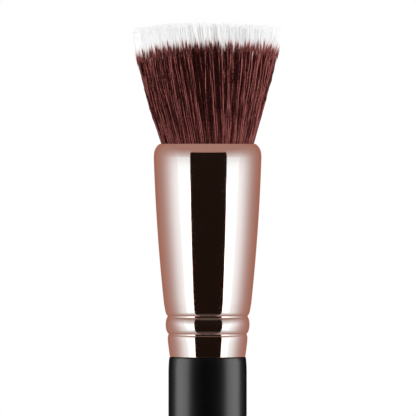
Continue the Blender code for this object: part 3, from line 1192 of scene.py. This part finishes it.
        # Painted shade: the strands under the locks are dark.
        tone = self.deep_tone * noise.uniform(0, 1, count)
        dye_shift = noise.normal(*self.deep_dye, count)
        wander = noise.normal(0, self.strand_wander, (self.clumps, 2))[clump]
        size = noise.uniform(*self.thickness, count)
        inside = share < self.core_share * self.short_share
        starts = np.where(inside, self.core_start, -self.root_depth)
        found = []
        for steps, keep in ((self.outer_levels, share >= self.outer_share),
                            (self.inner_levels, share < self.outer_share)):
            levels = []
            for step in np.linspace(0, 1, steps):
                height = starts + (tips - starts) * step
                down = tips - height
                up = np.clip(height / self.height, 0, 1)
                hold = np.sin(np.clip(up * self.hold_rise, 0, 1) * math.pi / 2)
                hold = hold * (1 - self.hold_loss * up ** 4)
                flat = places + (own - places) * (self.hold * hold)[:, None]
                levels.append((self.set_down(flat + wander * up[:, None], height),
                               self.strand_radius(size, down, up),
                               self.map_place(tone, down + dye_shift, places)))
            found.append(Strands.stacked(places, levels).chosen(keep))
        return found

    def grow_locks(self, noise: np.random.Generator) -> Strands:
        """Grow the outer locks, which lie side by side, cross a little and differ in tone.

        Args:
            noise: Source of the irregularity.

        Returns:
            The strands of all the locks.
        """
        turns, shares, tones, sizes = [], [], [], []
        lock_tone, strand_tone, wave_start = self.tone_jitter
        for number, share, size, shift, level in self.lock_rings:
            order = np.arange(number)
            turns.append((order + shift + noise.normal(0, self.lock_jitter, number))
                         * math.tau / number)
            shares.append(share - np.abs(noise.normal(0, self.lock_depth, number)))
            tone = (order * GOLDEN_SHARE + noise.normal(0, lock_tone, number)) % 1.0
            # The inner ring's smaller share of the tone is painted shade.
            tones.append((self.tone_middle + (tone - 0.5) * self.tone_spread) * level)
            sizes.append(np.full(number, size))
        lock = np.repeat(np.arange(sum(len(t) for t in turns)), np.concatenate(sizes))
        turn, base = np.concatenate(turns)[lock], np.concatenate(shares)[lock]
        locks, count = lock[-1] + 1, len(lock)
        away = noise.uniform(0, math.tau, count)
        spread = np.sqrt(noise.uniform(0, 1, count)) * noise.uniform(*self.lock_width, locks)[lock]
        spread = spread / self.outer_radius(np.array(0.5 * self.height))
        skew = noise.normal(0, self.lock_skew, locks)[lock]
        flat = np.stack([base * np.sin(turn), -base * np.cos(turn)], 1)
        tips = self.cut_tips(flat, self.tip_scatter, noise)
        # Painted light: paler at the right, darker at the front.
        tone = np.concatenate(tones)[lock] + self.painted_light_bias(flat) + noise.normal(0, strand_tone, count)
        dye_shift = self.tooth(flat) + noise.normal(0, self.lock_dye_scatter, count)
        chance, least, most = self.long_tips
        dye_shift -= np.where(noise.uniform(0, 1, count) < chance,
                              noise.uniform(least, most, count), 0)
        waves = [(noise.uniform(low, high, locks)[lock], noise.uniform(0, 1, locks)[lock],
                  noise.uniform(0, 1, locks)[lock], depth, side)
                 for low, high, depth, side in self.lock_waves]
        drift = noise.normal(0, self.strand_skew, count)
        low, high, swing = self.tone_and_glint_wave
        tone_rate = noise.uniform(low, high, locks)[lock]
        tone_start = noise.uniform(0, 1, locks)[lock] + noise.normal(0, wave_start, count)
        size = noise.uniform(*self.lock_thickness, count)
        closed, opening = self.lock_opening
        levels = []
        for step in np.linspace(0, 1, self.lock_levels):
            height = (tips + self.root_depth) * step - self.root_depth
            down = tips - height
            up = np.clip(height / self.height, 0, 1)
            free = np.minimum(1, up * self.lock_rise)
            out, along = base, turn + skew * up + drift * (up - 0.5)
            for rate, first, second, depth, side in waves:
                out = out - depth * free * (0.5 + 0.5 * np.sin(math.tau * (up * rate + first)))
                along = along + side * depth * free * np.sin(math.tau * (up * rate + second))
            loose = spread * (closed + opening * up ** 5)
            place = np.stack([out * np.sin(along) + loose * np.cos(away),
                              -out * np.cos(along) + loose * np.sin(away)], 1)
            # Tone that differs along the lock, with painted glints.
            shade = tone + swing * np.sin(math.tau * (up * tone_rate + tone_start))
            # Painted shade: the tone is darker in the partings.
            shade = np.clip(shade - self.painted_parting_shade(flat, up), 0, 1)
            levels.append((self.set_down(place, height), self.strand_radius(size, down, up),
                           self.map_place(shade, down + dye_shift, flat)))
        return Strands.stacked(flat, levels)

    def grow_fluff(self, noise: np.random.Generator) -> Strands:
        """Grow the short fine ends that fill the white tips, most of them at the outside.

        Args:
            noise: Source of the irregularity.

        Returns:
            The ends.
        """
        spread = self.spiral(self.fluff, self.fluff_jitter, noise)
        order = np.arange(self.fringe)
        turn = order * GOLDEN_TURN
        share = blend(self.fringe_share, 1.0, (order * PLASTIC_SHARE) % 1.0)
        fringe = np.stack([share * np.cos(turn), share * np.sin(turn)], 1)
        places = np.concatenate([spread, fringe])
        count = len(places)
        tips = self.cut_tips(places, self.fluff_tip_scatter, noise)
        length = self.dye_length + self.dye_extra(places) + noise.normal(*self.fluff_extra, count)
        # Painted light: paler at the right, darker at the front.
        tone = np.clip(noise.uniform(*self.fluff_tone, count) + self.painted_light_bias(places), 0, 1)
        shift = self.tooth(places) + noise.normal(0, self.fluff_dye_scatter, count)
        wander = noise.normal(0, self.fluff_wander, (count, 2))
        size = noise.uniform(*self.fluff_thickness, count)
        size *= np.where(np.linalg.norm(places, axis=1) < self.inner_fluff_to, self.inner_fluff, 1)
        loss, rate, thickest = self.fluff_taper
        levels = []
        for step in np.linspace(0, 1, self.fluff_levels):
            height = tips - length * (1 - step)
            levels.append((self.set_down(places + wander * (step - 0.5), height),
                           size * (1 - loss * abs(rate * step - thickest)),
                           self.map_place(tone, tips - height + shift, places)))
        return Strands.stacked(places, levels)

    def tooth(self, flat: np.ndarray) -> np.ndarray:
        """How much higher than elsewhere the brown reaches: it ends in teeth of many lengths.

        Args:
            flat: Places of the strands.

        Returns:
            The extra length of brown.
        """
        number = np.floor(azimuths(flat) / math.tau * self.tooth_count).astype(int)
        frontness = hump(azimuths(flat), *self.teeth_middle)
        return self.teeth[number % self.tooth_count] * blend(*self.tooth_depth, frontness)

    def painted_light_bias(self, flat: np.ndarray) -> np.ndarray:
        """Painted light on the hair's tone: painted shade at the front and painted light at the
        right.

        Args:
            flat: Places of the strands.

        Returns:
            What is added to their tone.
        """
        azimuth = azimuths(flat)
        return (self.side_bias + self.painted_right_light * rise(azimuth, *self.right_reach)
                - self.painted_front_shade * hump(azimuth, *self.front_middle))

    def turn_at(self, flat: np.ndarray, up: np.ndarray) -> np.ndarray:
        """Turn of the hair round the axis: it sweeps left at the front and parts in places.

        Args:
            flat: Places of the strands.
            up: Height as a share of the tuft's.

        Returns:
            The turn in radians.
        """
        azimuth = azimuths(flat)
        turn = -self.twist * hump(azimuth, *self.twist_middle) * up
        outer = rise(np.linalg.norm(flat, axis=1), self.outer_share, self.parting_skin)
        for middle, strength in self.partings:
            off = (azimuth - middle) / self.parting_width
            side = np.tanh(off * self.parting_edge)
            turn = turn + strength * side * np.exp(-off ** 2) * up * outer
        return turn

    def painted_parting_shade(self, flat: np.ndarray, up: np.ndarray) -> np.ndarray:
        """Painted shade in the partings, which close near the rim and the tips.

        Args:
            flat: Places of the strands.
            up: Height as a share of the tuft's.

        Returns:
            What is taken from their tone.
        """
        azimuth = azimuths(flat)
        (low, high), (rising, falling) = self.parting_reach, self.parting_fade
        reach = rise(up, low, rising) * np.clip((high - up) / falling, 0, 1)
        shade = np.zeros(len(flat))
        for middle, strength in self.partings:
            shade += strength * np.exp(-(2 * (azimuth - middle) / self.parting_width) ** 2)
        return self.parting_shade_depth * shade * reach

    def mesh_of(self, name: str, groups: Sequence[Strands]) -> bpy.types.Object:
        """One piece of three-sided strands.

        Args:
            name: Name of the piece.
            groups: Its strands.

        Returns:
            The piece.
        """
        verts, faces, starts, maps = [], [], [], []
        vert_count = loop_count = 0
        for group in groups:
            more_verts, corners, sizes, places = group.surface()
            verts.append(more_verts)
            faces.append(corners + vert_count)
            starts.append(np.concatenate([[0], np.cumsum(sizes)[:-1]]) + loop_count)
            maps.append(places)
            vert_count += len(more_verts)
            loop_count += len(corners)
        mesh = bpy.data.meshes.new(name)
        mesh.vertices.add(vert_count)
        mesh.vertices.foreach_set("co", np.concatenate(verts).astype(np.float32).ravel())
        mesh.loops.add(loop_count)
        mesh.loops.foreach_set("vertex_index", np.concatenate(faces).astype(np.int32))
        first = np.concatenate(starts).astype(np.int32)
        mesh.polygons.add(len(first))
        mesh.polygons.foreach_set("loop_start", first)
        mesh.update(calc_edges=True)
        layer = mesh.uv_layers.new(name=HAIR_MAP)
        layer.uv.foreach_set("vector", np.concatenate(maps).astype(np.float32).ravel())
        mesh.validate()
        mesh.shade_smooth()
        piece = bpy.data.objects.new(name, mesh)
        bpy.context.scene.collection.objects.link(piece)
        return piece

    def build(self) -> None:
        """Make the hair, as a core and wedges like the frame's."""
        noise = np.random.default_rng(self.seed)
        groups = [*self.grow(noise), self.grow_locks(noise), self.grow_fluff(noise)]
        material = self.finish.material((self.dye_length - self.dye_fade) / self.span,
                                        (self.dye_length + self.dye_fade) / self.span)
        for number in range(self.wedges + 1):
            node = f"tuft_wedge_{number}" if number else "tuft_core"
            chosen = [group.chosen(self.sectors(group.places) == number) for group in groups]
            chosen = [group for group in chosen if len(group.places)]
            piece = self.mesh_of(node.replace("tuft", "hair"), chosen)
            place_piece(piece, material, Slot.FILAMENT, node)
            piece.visible_glossy = False
        self.bed()

    def bed(self) -> None:
        """Fill the tuft between its tips, a little below them."""
        radius, foot = (float(self.outer_radius(np.array(height)))
                        for height in (self.height, self.height - self.bed_wall))
        outline = [(radius * self.bed_share * share, 0.0)
                   for share in np.linspace(0, 1, self.bed_rings)]
        outline += [(foot * self.bed_share, -self.bed_wall), (0.0, -self.bed_wall)]
        piece = turned("packed_tips", outline, self.bed_steps)
        verts = piece.data.vertices
        flat = np.array([vertex.co.xy for vertex in verts]) / radius
        for vertex, tip in zip(verts, self.tip_heights(flat)):
            vertex.co.z += self.rim + float(tip) - self.bed_depth
        place_piece(piece, self.bed_finish.material(), Slot.FILAMENT)
        piece.visible_glossy = False

    def sectors(self, places: np.ndarray) -> np.ndarray:
        """Wedge that each place is in.

        Args:
            places: The places.

        Returns:
            Number of the wedge, or 0 in the core.
        """
        turn = np.arctan2(places[:, 1], places[:, 0]) % math.tau
        sector = np.floor(turn / (math.tau / self.wedges)).astype(int) % self.wedges + 1
        return np.where(np.linalg.norm(places, axis=1) < self.core_share, 0, sector)


@dataclass
class PackedRoot:
    """The filaments packed and tied inside the ferrule, under the free hair."""

    top_depth: float = 3.2 * MM
    rim: float = RIM
    top_radius: float = 12.1 * MM
    foot_radius: float = 11.4 * MM
    packed_length: float = 8.5 * MM
    tied_radius: float = 8.6 * MM
    steps: int = 96
    finish: Packed = RESINED_SIDE

    def build(self) -> None:
        """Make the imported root."""
        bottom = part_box("tuft_core")[0].z
        top = self.rim - self.top_depth
        foot = top - self.packed_length
        outline = [(0, top), (self.top_radius, top), (self.foot_radius, foot),
                   (self.tied_radius, foot), (self.tied_radius, bottom), (0, bottom)]
        piece = turned("packed_root", outline, self.steps)
        place_piece(piece, self.finish.material(), Slot.FILAMENT)


@dataclass
class InnerSolids:
    """Hidden solids of the frame that keep their shape and get a real finish."""

    resin: Cured = Cured("amber_resin", (0.42, 0.30, 0.13), 0.22)
    adhesive: Cured = Cured("wood_adhesive", (0.62, 0.56, 0.42), 0.42)
    thread: Thread = Thread()

    def build(self) -> None:
        """Dress the resin, the adhesive and the thread."""
        finishes = {"root_plug": self.resin, "tenon_glue": self.adhesive,
                    "binding_thread": self.thread}
        for node, finish in finishes.items():
            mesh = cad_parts[node].data
            mesh.materials.clear()
            mesh.materials.append(finish.material())
            LOG.info("%s: finish %s", node, mesh.materials[0].name)


# Studio


def distance_out(graph: Graph) -> Signal:
    """Distance of the surface from the origin."""
    return graph.node("ShaderNodeVectorMath", {"operation": "LENGTH"}, graph.object_place(),
                      output="Value")


@dataclass
class Studio:
    """Soft side lights with a dark gap between them, a pale room and a pale floor.

    The cards give the gloss of the metal, two strips that of the lacquer, and the lamps and the
    room light the hair. The cards' light goes by azimuth, in degrees right of the camera, and
    fades by the height in millimetres that the metal shows.
    """

    radius: float = 250 * MM
    gap: Point = (-36.8, 40.6)
    card_steps: int = 48
    glossy_room: Colour = (0.40, 0.305, 0.282)
    room_level: float = 1.0
    behind: Point = (0.955, 0.985)
    card_colour: Colour = (1.03, 1.48, 1.70)
    card_edge: Point = (60, 33)
    core_colour: Colour = (2.30, 2.60, 2.75)
    core_turns: Point = (38, 66)
    core_power: float = 0.6
    card_stops: tuple[float, float, int] = (38, 138, 26)
    card_end: float = 168
    lean_from: float = 115 * MM
    lean_to: float = 65 * MM
    lean_rate: float = 0.55
    right_shift: float = 0.02
    side_width: float = 1 * MM
    card_fade: tuple[Point, ...] = ((138, 0.0), (143, 0.02), (148, 0.15), (155, 0.29), (166, 0.40),
                                    (175, 0.53), (187, 0.64), (205, 0.76), (267, 0.90), (360, 1.0))
    cap_from: float = 136 * MM
    cap_soft: float = 4 * MM
    card_cap: Colour = (1.12, 1.72, 2.00)
    wall_drop: float = 22.4 * MM
    card_height: float = 380 * MM
    card_foot: float = 2 * MM
    card_toe: float = 20 * MM
    card_near: Point = (20 * MM, 250 * MM)
    card_near_power: float = 1.5
    card_low: Point = (10 * MM, 72 * MM)
    card_low_share: float = 0.1
    wall_soft: float = 5 * MM
    collar: Triple = (22 * MM, 70 * MM, 139 * MM)
    foot_light: Colour = (0.37, 0.34, 0.33)
    flag_light: Colour = (0.012, 0.008, 0.006)
    flag_foot_light: Colour = (0.10, 0.095, 0.09)
    flag_near: Point = (70 * MM, 170 * MM)
    flag_top: float = 238 * MM
    floor_radius: float = 2.5
    floor_steps: int = 96
    floor_drop: float = 0.2 * MM
    floor_tones: Point = (0.75, 0.79)
    floor_grain: float = 60
    floor_roughness: float = 0.6
    white_floor: Point = (0.18, 0.60)
    lamp_distance: float = 1.2
    lamp_height: float = 160 * MM
    lamp_elevation: float = 24.0
    lamp_size: float = 0.7
    lamps: tuple[tuple[str, float, float], ...] = (
        ("lamp_left", -60.0, 0.33), ("lamp_right", 60.0, 0.39))
    strip_distance: float = 0.20
    strip_size: Point = (0.180, 0.210)
    strip_height: float = 0.108
    strips: tuple[tuple[str, float], ...] = (("strip_left", -80.0), ("strip_right", 80.0))
    strip_level: float = 3.45
    cards: list[bpy.types.Object] = field(default_factory=list)

    def world(self) -> None:
        """White for the camera and behind the brush, a pale room for everything else."""
        world = bpy.data.worlds.new("pale_room")
        bpy.context.scene.world = world
        graph = Graph(world)
        camera = graph.node("ShaderNodeLightPath", output="Is Camera Ray")
        clear = graph.node("ShaderNodeLightPath", output="Is Transmission Ray")
        glossy = graph.node("ShaderNodeLightPath", output="Is Glossy Ray")
        place = graph.node("ShaderNodeTexCoord", output="Generated")
        behind = graph.node("ShaderNodeSeparateXYZ", None, place, output="Y")
        white = rgba((1, 1, 1))
        room = rgba([self.room_level] * 3)
        mirrored = graph.mix_colour(behind.ramp(*self.behind), rgba(self.glossy_room), white)
        lit = graph.mix_colour(glossy, room, mirrored)
        colour = graph.mix_colour(camera.math("MAXIMUM", clear), lit, white)
        shader = graph.node("ShaderNodeBackground", None, colour, 1.0)
        graph.node("ShaderNodeOutputWorld", None, shader)

    def card(self, name: str, first: float, last: float, outline: Sequence[Point],
             light: Callable[[Graph], object], from_below: bool = False) -> bpy.types.Object:
        """A curved card round the brush that only gloss shows.

        Args:
            name: Name of the card.
            first: Azimuth of its first edge, in degrees right of the camera.
            last: Azimuth of its last edge.
            outline: (radius, height) points of its section.
            light: Gives the colour of its light.
            from_below: Whether it is clear from above.

        Returns:
            The card.
        """
        piece = turned(name, outline, self.card_steps, angle=math.radians(last - first),
                       crease=180)
        piece.rotation_euler.z = math.radians(first - 90)
        settle(piece)
        material = bpy.data.materials.new(name)
        graph = Graph(material)
        glow = graph.node("ShaderNodeEmission", None, light(graph), 1.0)
        if from_below:
            below = graph.node("ShaderNodeNewGeometry", output="Backfacing")
            clear = graph.node("ShaderNodeBsdfTransparent")
            glow = graph.node("ShaderNodeMixShader", None, below, clear, glow)
        graph.finish_surface(glow)
        piece.data.materials.append(material)
        piece.visible_camera = piece.visible_diffuse = piece.visible_shadow = False
        return piece

    def light_at(self, turn: float) -> np.ndarray:
        """Light of a side card before it fades upwards: a soft edge round a brighter core.

        Args:
            turn: Azimuth, in degrees to either side of the camera.

        Returns:
            The light's colour.
        """
        room, card, core = (np.array(colour) for colour in
                            (self.glossy_room, self.card_colour, self.core_colour))
        middle, width = self.card_edge
        first, last = self.core_turns
        edge = room + (card - room) * hump(max(turn, middle), middle, width)
        inside = max(0.0, last - turn) / (last - first)
        return edge + (core - card) * inside ** self.core_power

    def softbox_light(self, graph: Graph) -> Signal:
        """Light of a side card: bright beside the camera, dim towards the back and the top.

        Args:
            graph: Graph of the card's material.

        Returns:
            The light's colour.
        """
        place = graph.object_place()
        x, y, z = (graph.node("ShaderNodeSeparateXYZ", None, place, output=axis)
                   for axis in "XYZ")
        azimuth = x.math("ABSOLUTE").math("ARCTAN2", 0.0 - y) * (1 / math.pi)
        mirrored = z + (azimuth * (math.pi / 2)).math("COSINE") * self.wall_drop
        lean = (self.lean_from - z.math("MAXIMUM", self.lean_to)) * self.lean_rate
        right = x.ramp(-self.side_width, self.side_width)
        azimuth = azimuth + lean - right * self.right_shift
        round_light = graph.stops(azimuth, [(turn / 180, self.light_at(turn))
                                            for turn in np.linspace(*self.card_stops).tolist()])
        away = (x * x + y * y).math("SQRT")
        capped = graph.node("ShaderNodeVectorMath", {"operation": "MINIMUM"}, round_light,
                            self.card_cap)
        near, far = self.card_near
        uncapped = 1 - mirrored.ramp(self.cap_from, self.cap_from + self.cap_soft)
        plain = away.ramp(far - self.wall_soft, far) * uncapped
        card = graph.mix_colour(plain, capped, round_light)
        from_foot = away.ramp(near, far).math("POWER", self.card_near_power)
        level = (from_foot * (1 - self.card_low_share)
                 + z.ramp(*self.card_low) * self.card_low_share)
        card = graph.mix_colour(level, rgba(self.foot_light), card)
        end = self.card_fade[-1][0]
        fade = graph.stops(mirrored * (1 / (end * MM)), [(height / end, [share] * 3)
                                                         for height, share in self.card_fade])
        return graph.mix_colour(fade, card, rgba(self.glossy_room))

    def gap_light(self, graph: Graph) -> Signal:
        """Light of the dark gap, a little less dark at its foot."""
        return graph.between(distance_out(graph), self.flag_near, self.flag_foot_light,
                             self.flag_light)

    def area_lamp(self, name: str, azimuth: float, elevation: float, distance: float,
                  height: float) -> bpy.types.Object:
        """An area lamp aimed at the brush's axis.

        Args:
            name: Name of the lamp.
            azimuth: Degrees right of the camera.
            elevation: Degrees above the point that it is aimed at.
            distance: How far it is from that point.
            height: Height of that point.

        Returns:
            The lamp.
        """
        turn, slope = math.radians(azimuth), math.radians(elevation)
        away = Vector((math.sin(turn) * math.cos(slope), -math.cos(turn) * math.cos(slope),
                       math.sin(slope)))
        lamp = bpy.data.objects.new(name, bpy.data.lights.new(name, "AREA"))
        lamp.location = away * distance + Vector((0, 0, height))
        lamp.rotation_euler = away.to_track_quat("Z", "Y").to_euler()
        bpy.context.scene.collection.objects.link(lamp)
        return lamp

    def light_hair(self) -> None:
        """Set up the square lamps for the hair, which gloss doesn't show."""
        for name, azimuth, level in self.lamps:
            lamp = self.area_lamp(name, azimuth, self.lamp_elevation, self.lamp_distance,
                                  self.lamp_height)
            lamp.data.size = self.lamp_size
            lamp.data.energy = level * (math.pi * self.lamp_distance) ** 2
            lamp.visible_glossy = False

    def gloss_on_lacquer(self, handle: bpy.types.Object) -> None:
        """Light the handle's gloss by two strips of its own, and not by the metal's cards.

        Args:
            handle: The lacquered handle.
        """
        lacquered = bpy.data.collections.new("lacquered")
        lacquered.objects.link(handle)
        for name, azimuth in self.strips:
            lamp = self.area_lamp(name, azimuth, 0.0, self.strip_distance, self.strip_height)
            lamp.data.shape = "RECTANGLE"
            lamp.data.size, lamp.data.size_y = self.strip_size
            lamp.data.energy = self.strip_level * math.pi * lamp.data.size * lamp.data.size_y
            lamp.visible_camera = False
            lamp.light_linking.receiver_collection = lacquered
        others = bpy.data.collections.new("not_lacquered")
        others.objects.link(handle)
        others.collection_objects[0].light_linking.link_state = "EXCLUDE"
        for card in self.cards:
            card.light_linking.receiver_collection = others

    def floor(self) -> None:
        """A plain pale floor under the brush."""
        deselect_all()
        bpy.ops.mesh.primitive_circle_add(vertices=self.floor_steps, radius=self.floor_radius,
                                          fill_type="TRIFAN",
                                          location=(0, 0, -self.floor_drop))
        piece = settle(bpy.context.object)
        piece.name = "floor"
        material = bpy.data.materials.new("pale_floor")
        graph = Graph(material)
        grain = graph.noise(graph.object_place(), self.floor_grain, 2)
        colour = graph.mix_colour(grain, *(rgba([tone] * 3) for tone in self.floor_tones))
        lit = principled(graph, Base_Color=colour, Roughness=self.floor_roughness)
        white = graph.node("ShaderNodeEmission", None, rgba((1, 1, 1)), 1.0)
        seen = graph.node("ShaderNodeLightPath", output="Is Camera Ray")
        for ray in ("Is Glossy Ray", "Is Transmission Ray"):
            seen = seen.math("MAXIMUM", graph.node("ShaderNodeLightPath", output=ray))
        shown = seen * distance_out(graph).ramp(*self.white_floor)
        graph.finish_surface(graph.node("ShaderNodeMixShader", None, shown, lit, white))
        piece.data.materials.append(material)

    def build(self) -> None:
        """Light the brush."""
        self.world()
        self.floor()
        left, right = self.gap
        end = self.card_end
        foot = [(self.card_toe, self.card_foot), (self.radius, self.card_foot)]
        tall = foot + [(self.radius, self.card_height)]
        low = foot + [(self.radius, self.flag_top)]
        inner, outer, height = self.collar
        ring = [(inner, height), (outer, height)]
        self.cards = [
            self.card("softbox_right", right, end, tall, self.softbox_light),
            self.card("softbox_left", -end, left, tall, self.softbox_light),
            self.card("front_flag", left, right, low, self.gap_light),
            self.card("collar_sides", right, 360 + left, ring,
                      lambda graph: rgba(self.foot_light), True),
            self.card("collar_front", left, right, ring,
                      lambda graph: rgba(self.flag_foot_light), True)]
        self.light_hair()
        LOG.info("studio built")


@dataclass
class Camera:
    """The photograph's view: from the front, level with the ferrule's rim."""

    distance: float = 1.7
    sensor: float = 36.0
    clip_start: float = 0.05

    def build(self) -> None:
        """Place the camera."""
        pixel = MM_PER_PIXEL * MM
        middle = PHOTO_PIXELS / 2
        target = Vector(((middle - AXIS_PIXEL_X) * pixel, 0,
                         RIM - (middle - RIM_PIXEL_Y) * pixel))
        place = Vector((target.x, -self.distance, RIM))
        data = bpy.data.cameras.new("camera")
        data.sensor_width = self.sensor
        data.lens = self.sensor * (target - place).length / (PHOTO_PIXELS * pixel)
        data.clip_start = self.clip_start
        camera = bpy.data.objects.new("camera", data)
        camera.location = place
        camera.rotation_euler = (target - place).to_track_quat("-Z", "Y").to_euler()
        bpy.context.scene.collection.objects.link(camera)
        bpy.context.scene.camera = camera


def set_view() -> None:
    """Plain colour management."""
    bpy.context.scene.view_settings.view_transform = "Standard"


def write_sizes() -> None:
    """Define a helper that lists a box's corners; nothing is written."""
    def plain(box: Iterable[Iterable[float]]) -> list[list[float]]:
        """Corners of a box as lists."""
        return [[float(x) for x in corner] for corner in box]


def main() -> None:
    """Build the looks in order."""
    logging.basicConfig(level=logging.INFO, format="%(message)s")
    set_view()
    Camera().build()
    studio = Studio()
    studio.build()
    studio.gloss_on_lacquer(Handle().build())
    for part in (Ferrule(), InnerSolids(), PackedRoot(), Tuft()):
        part.build()
    write_sizes()


if __name__ == "__main__":
    main()
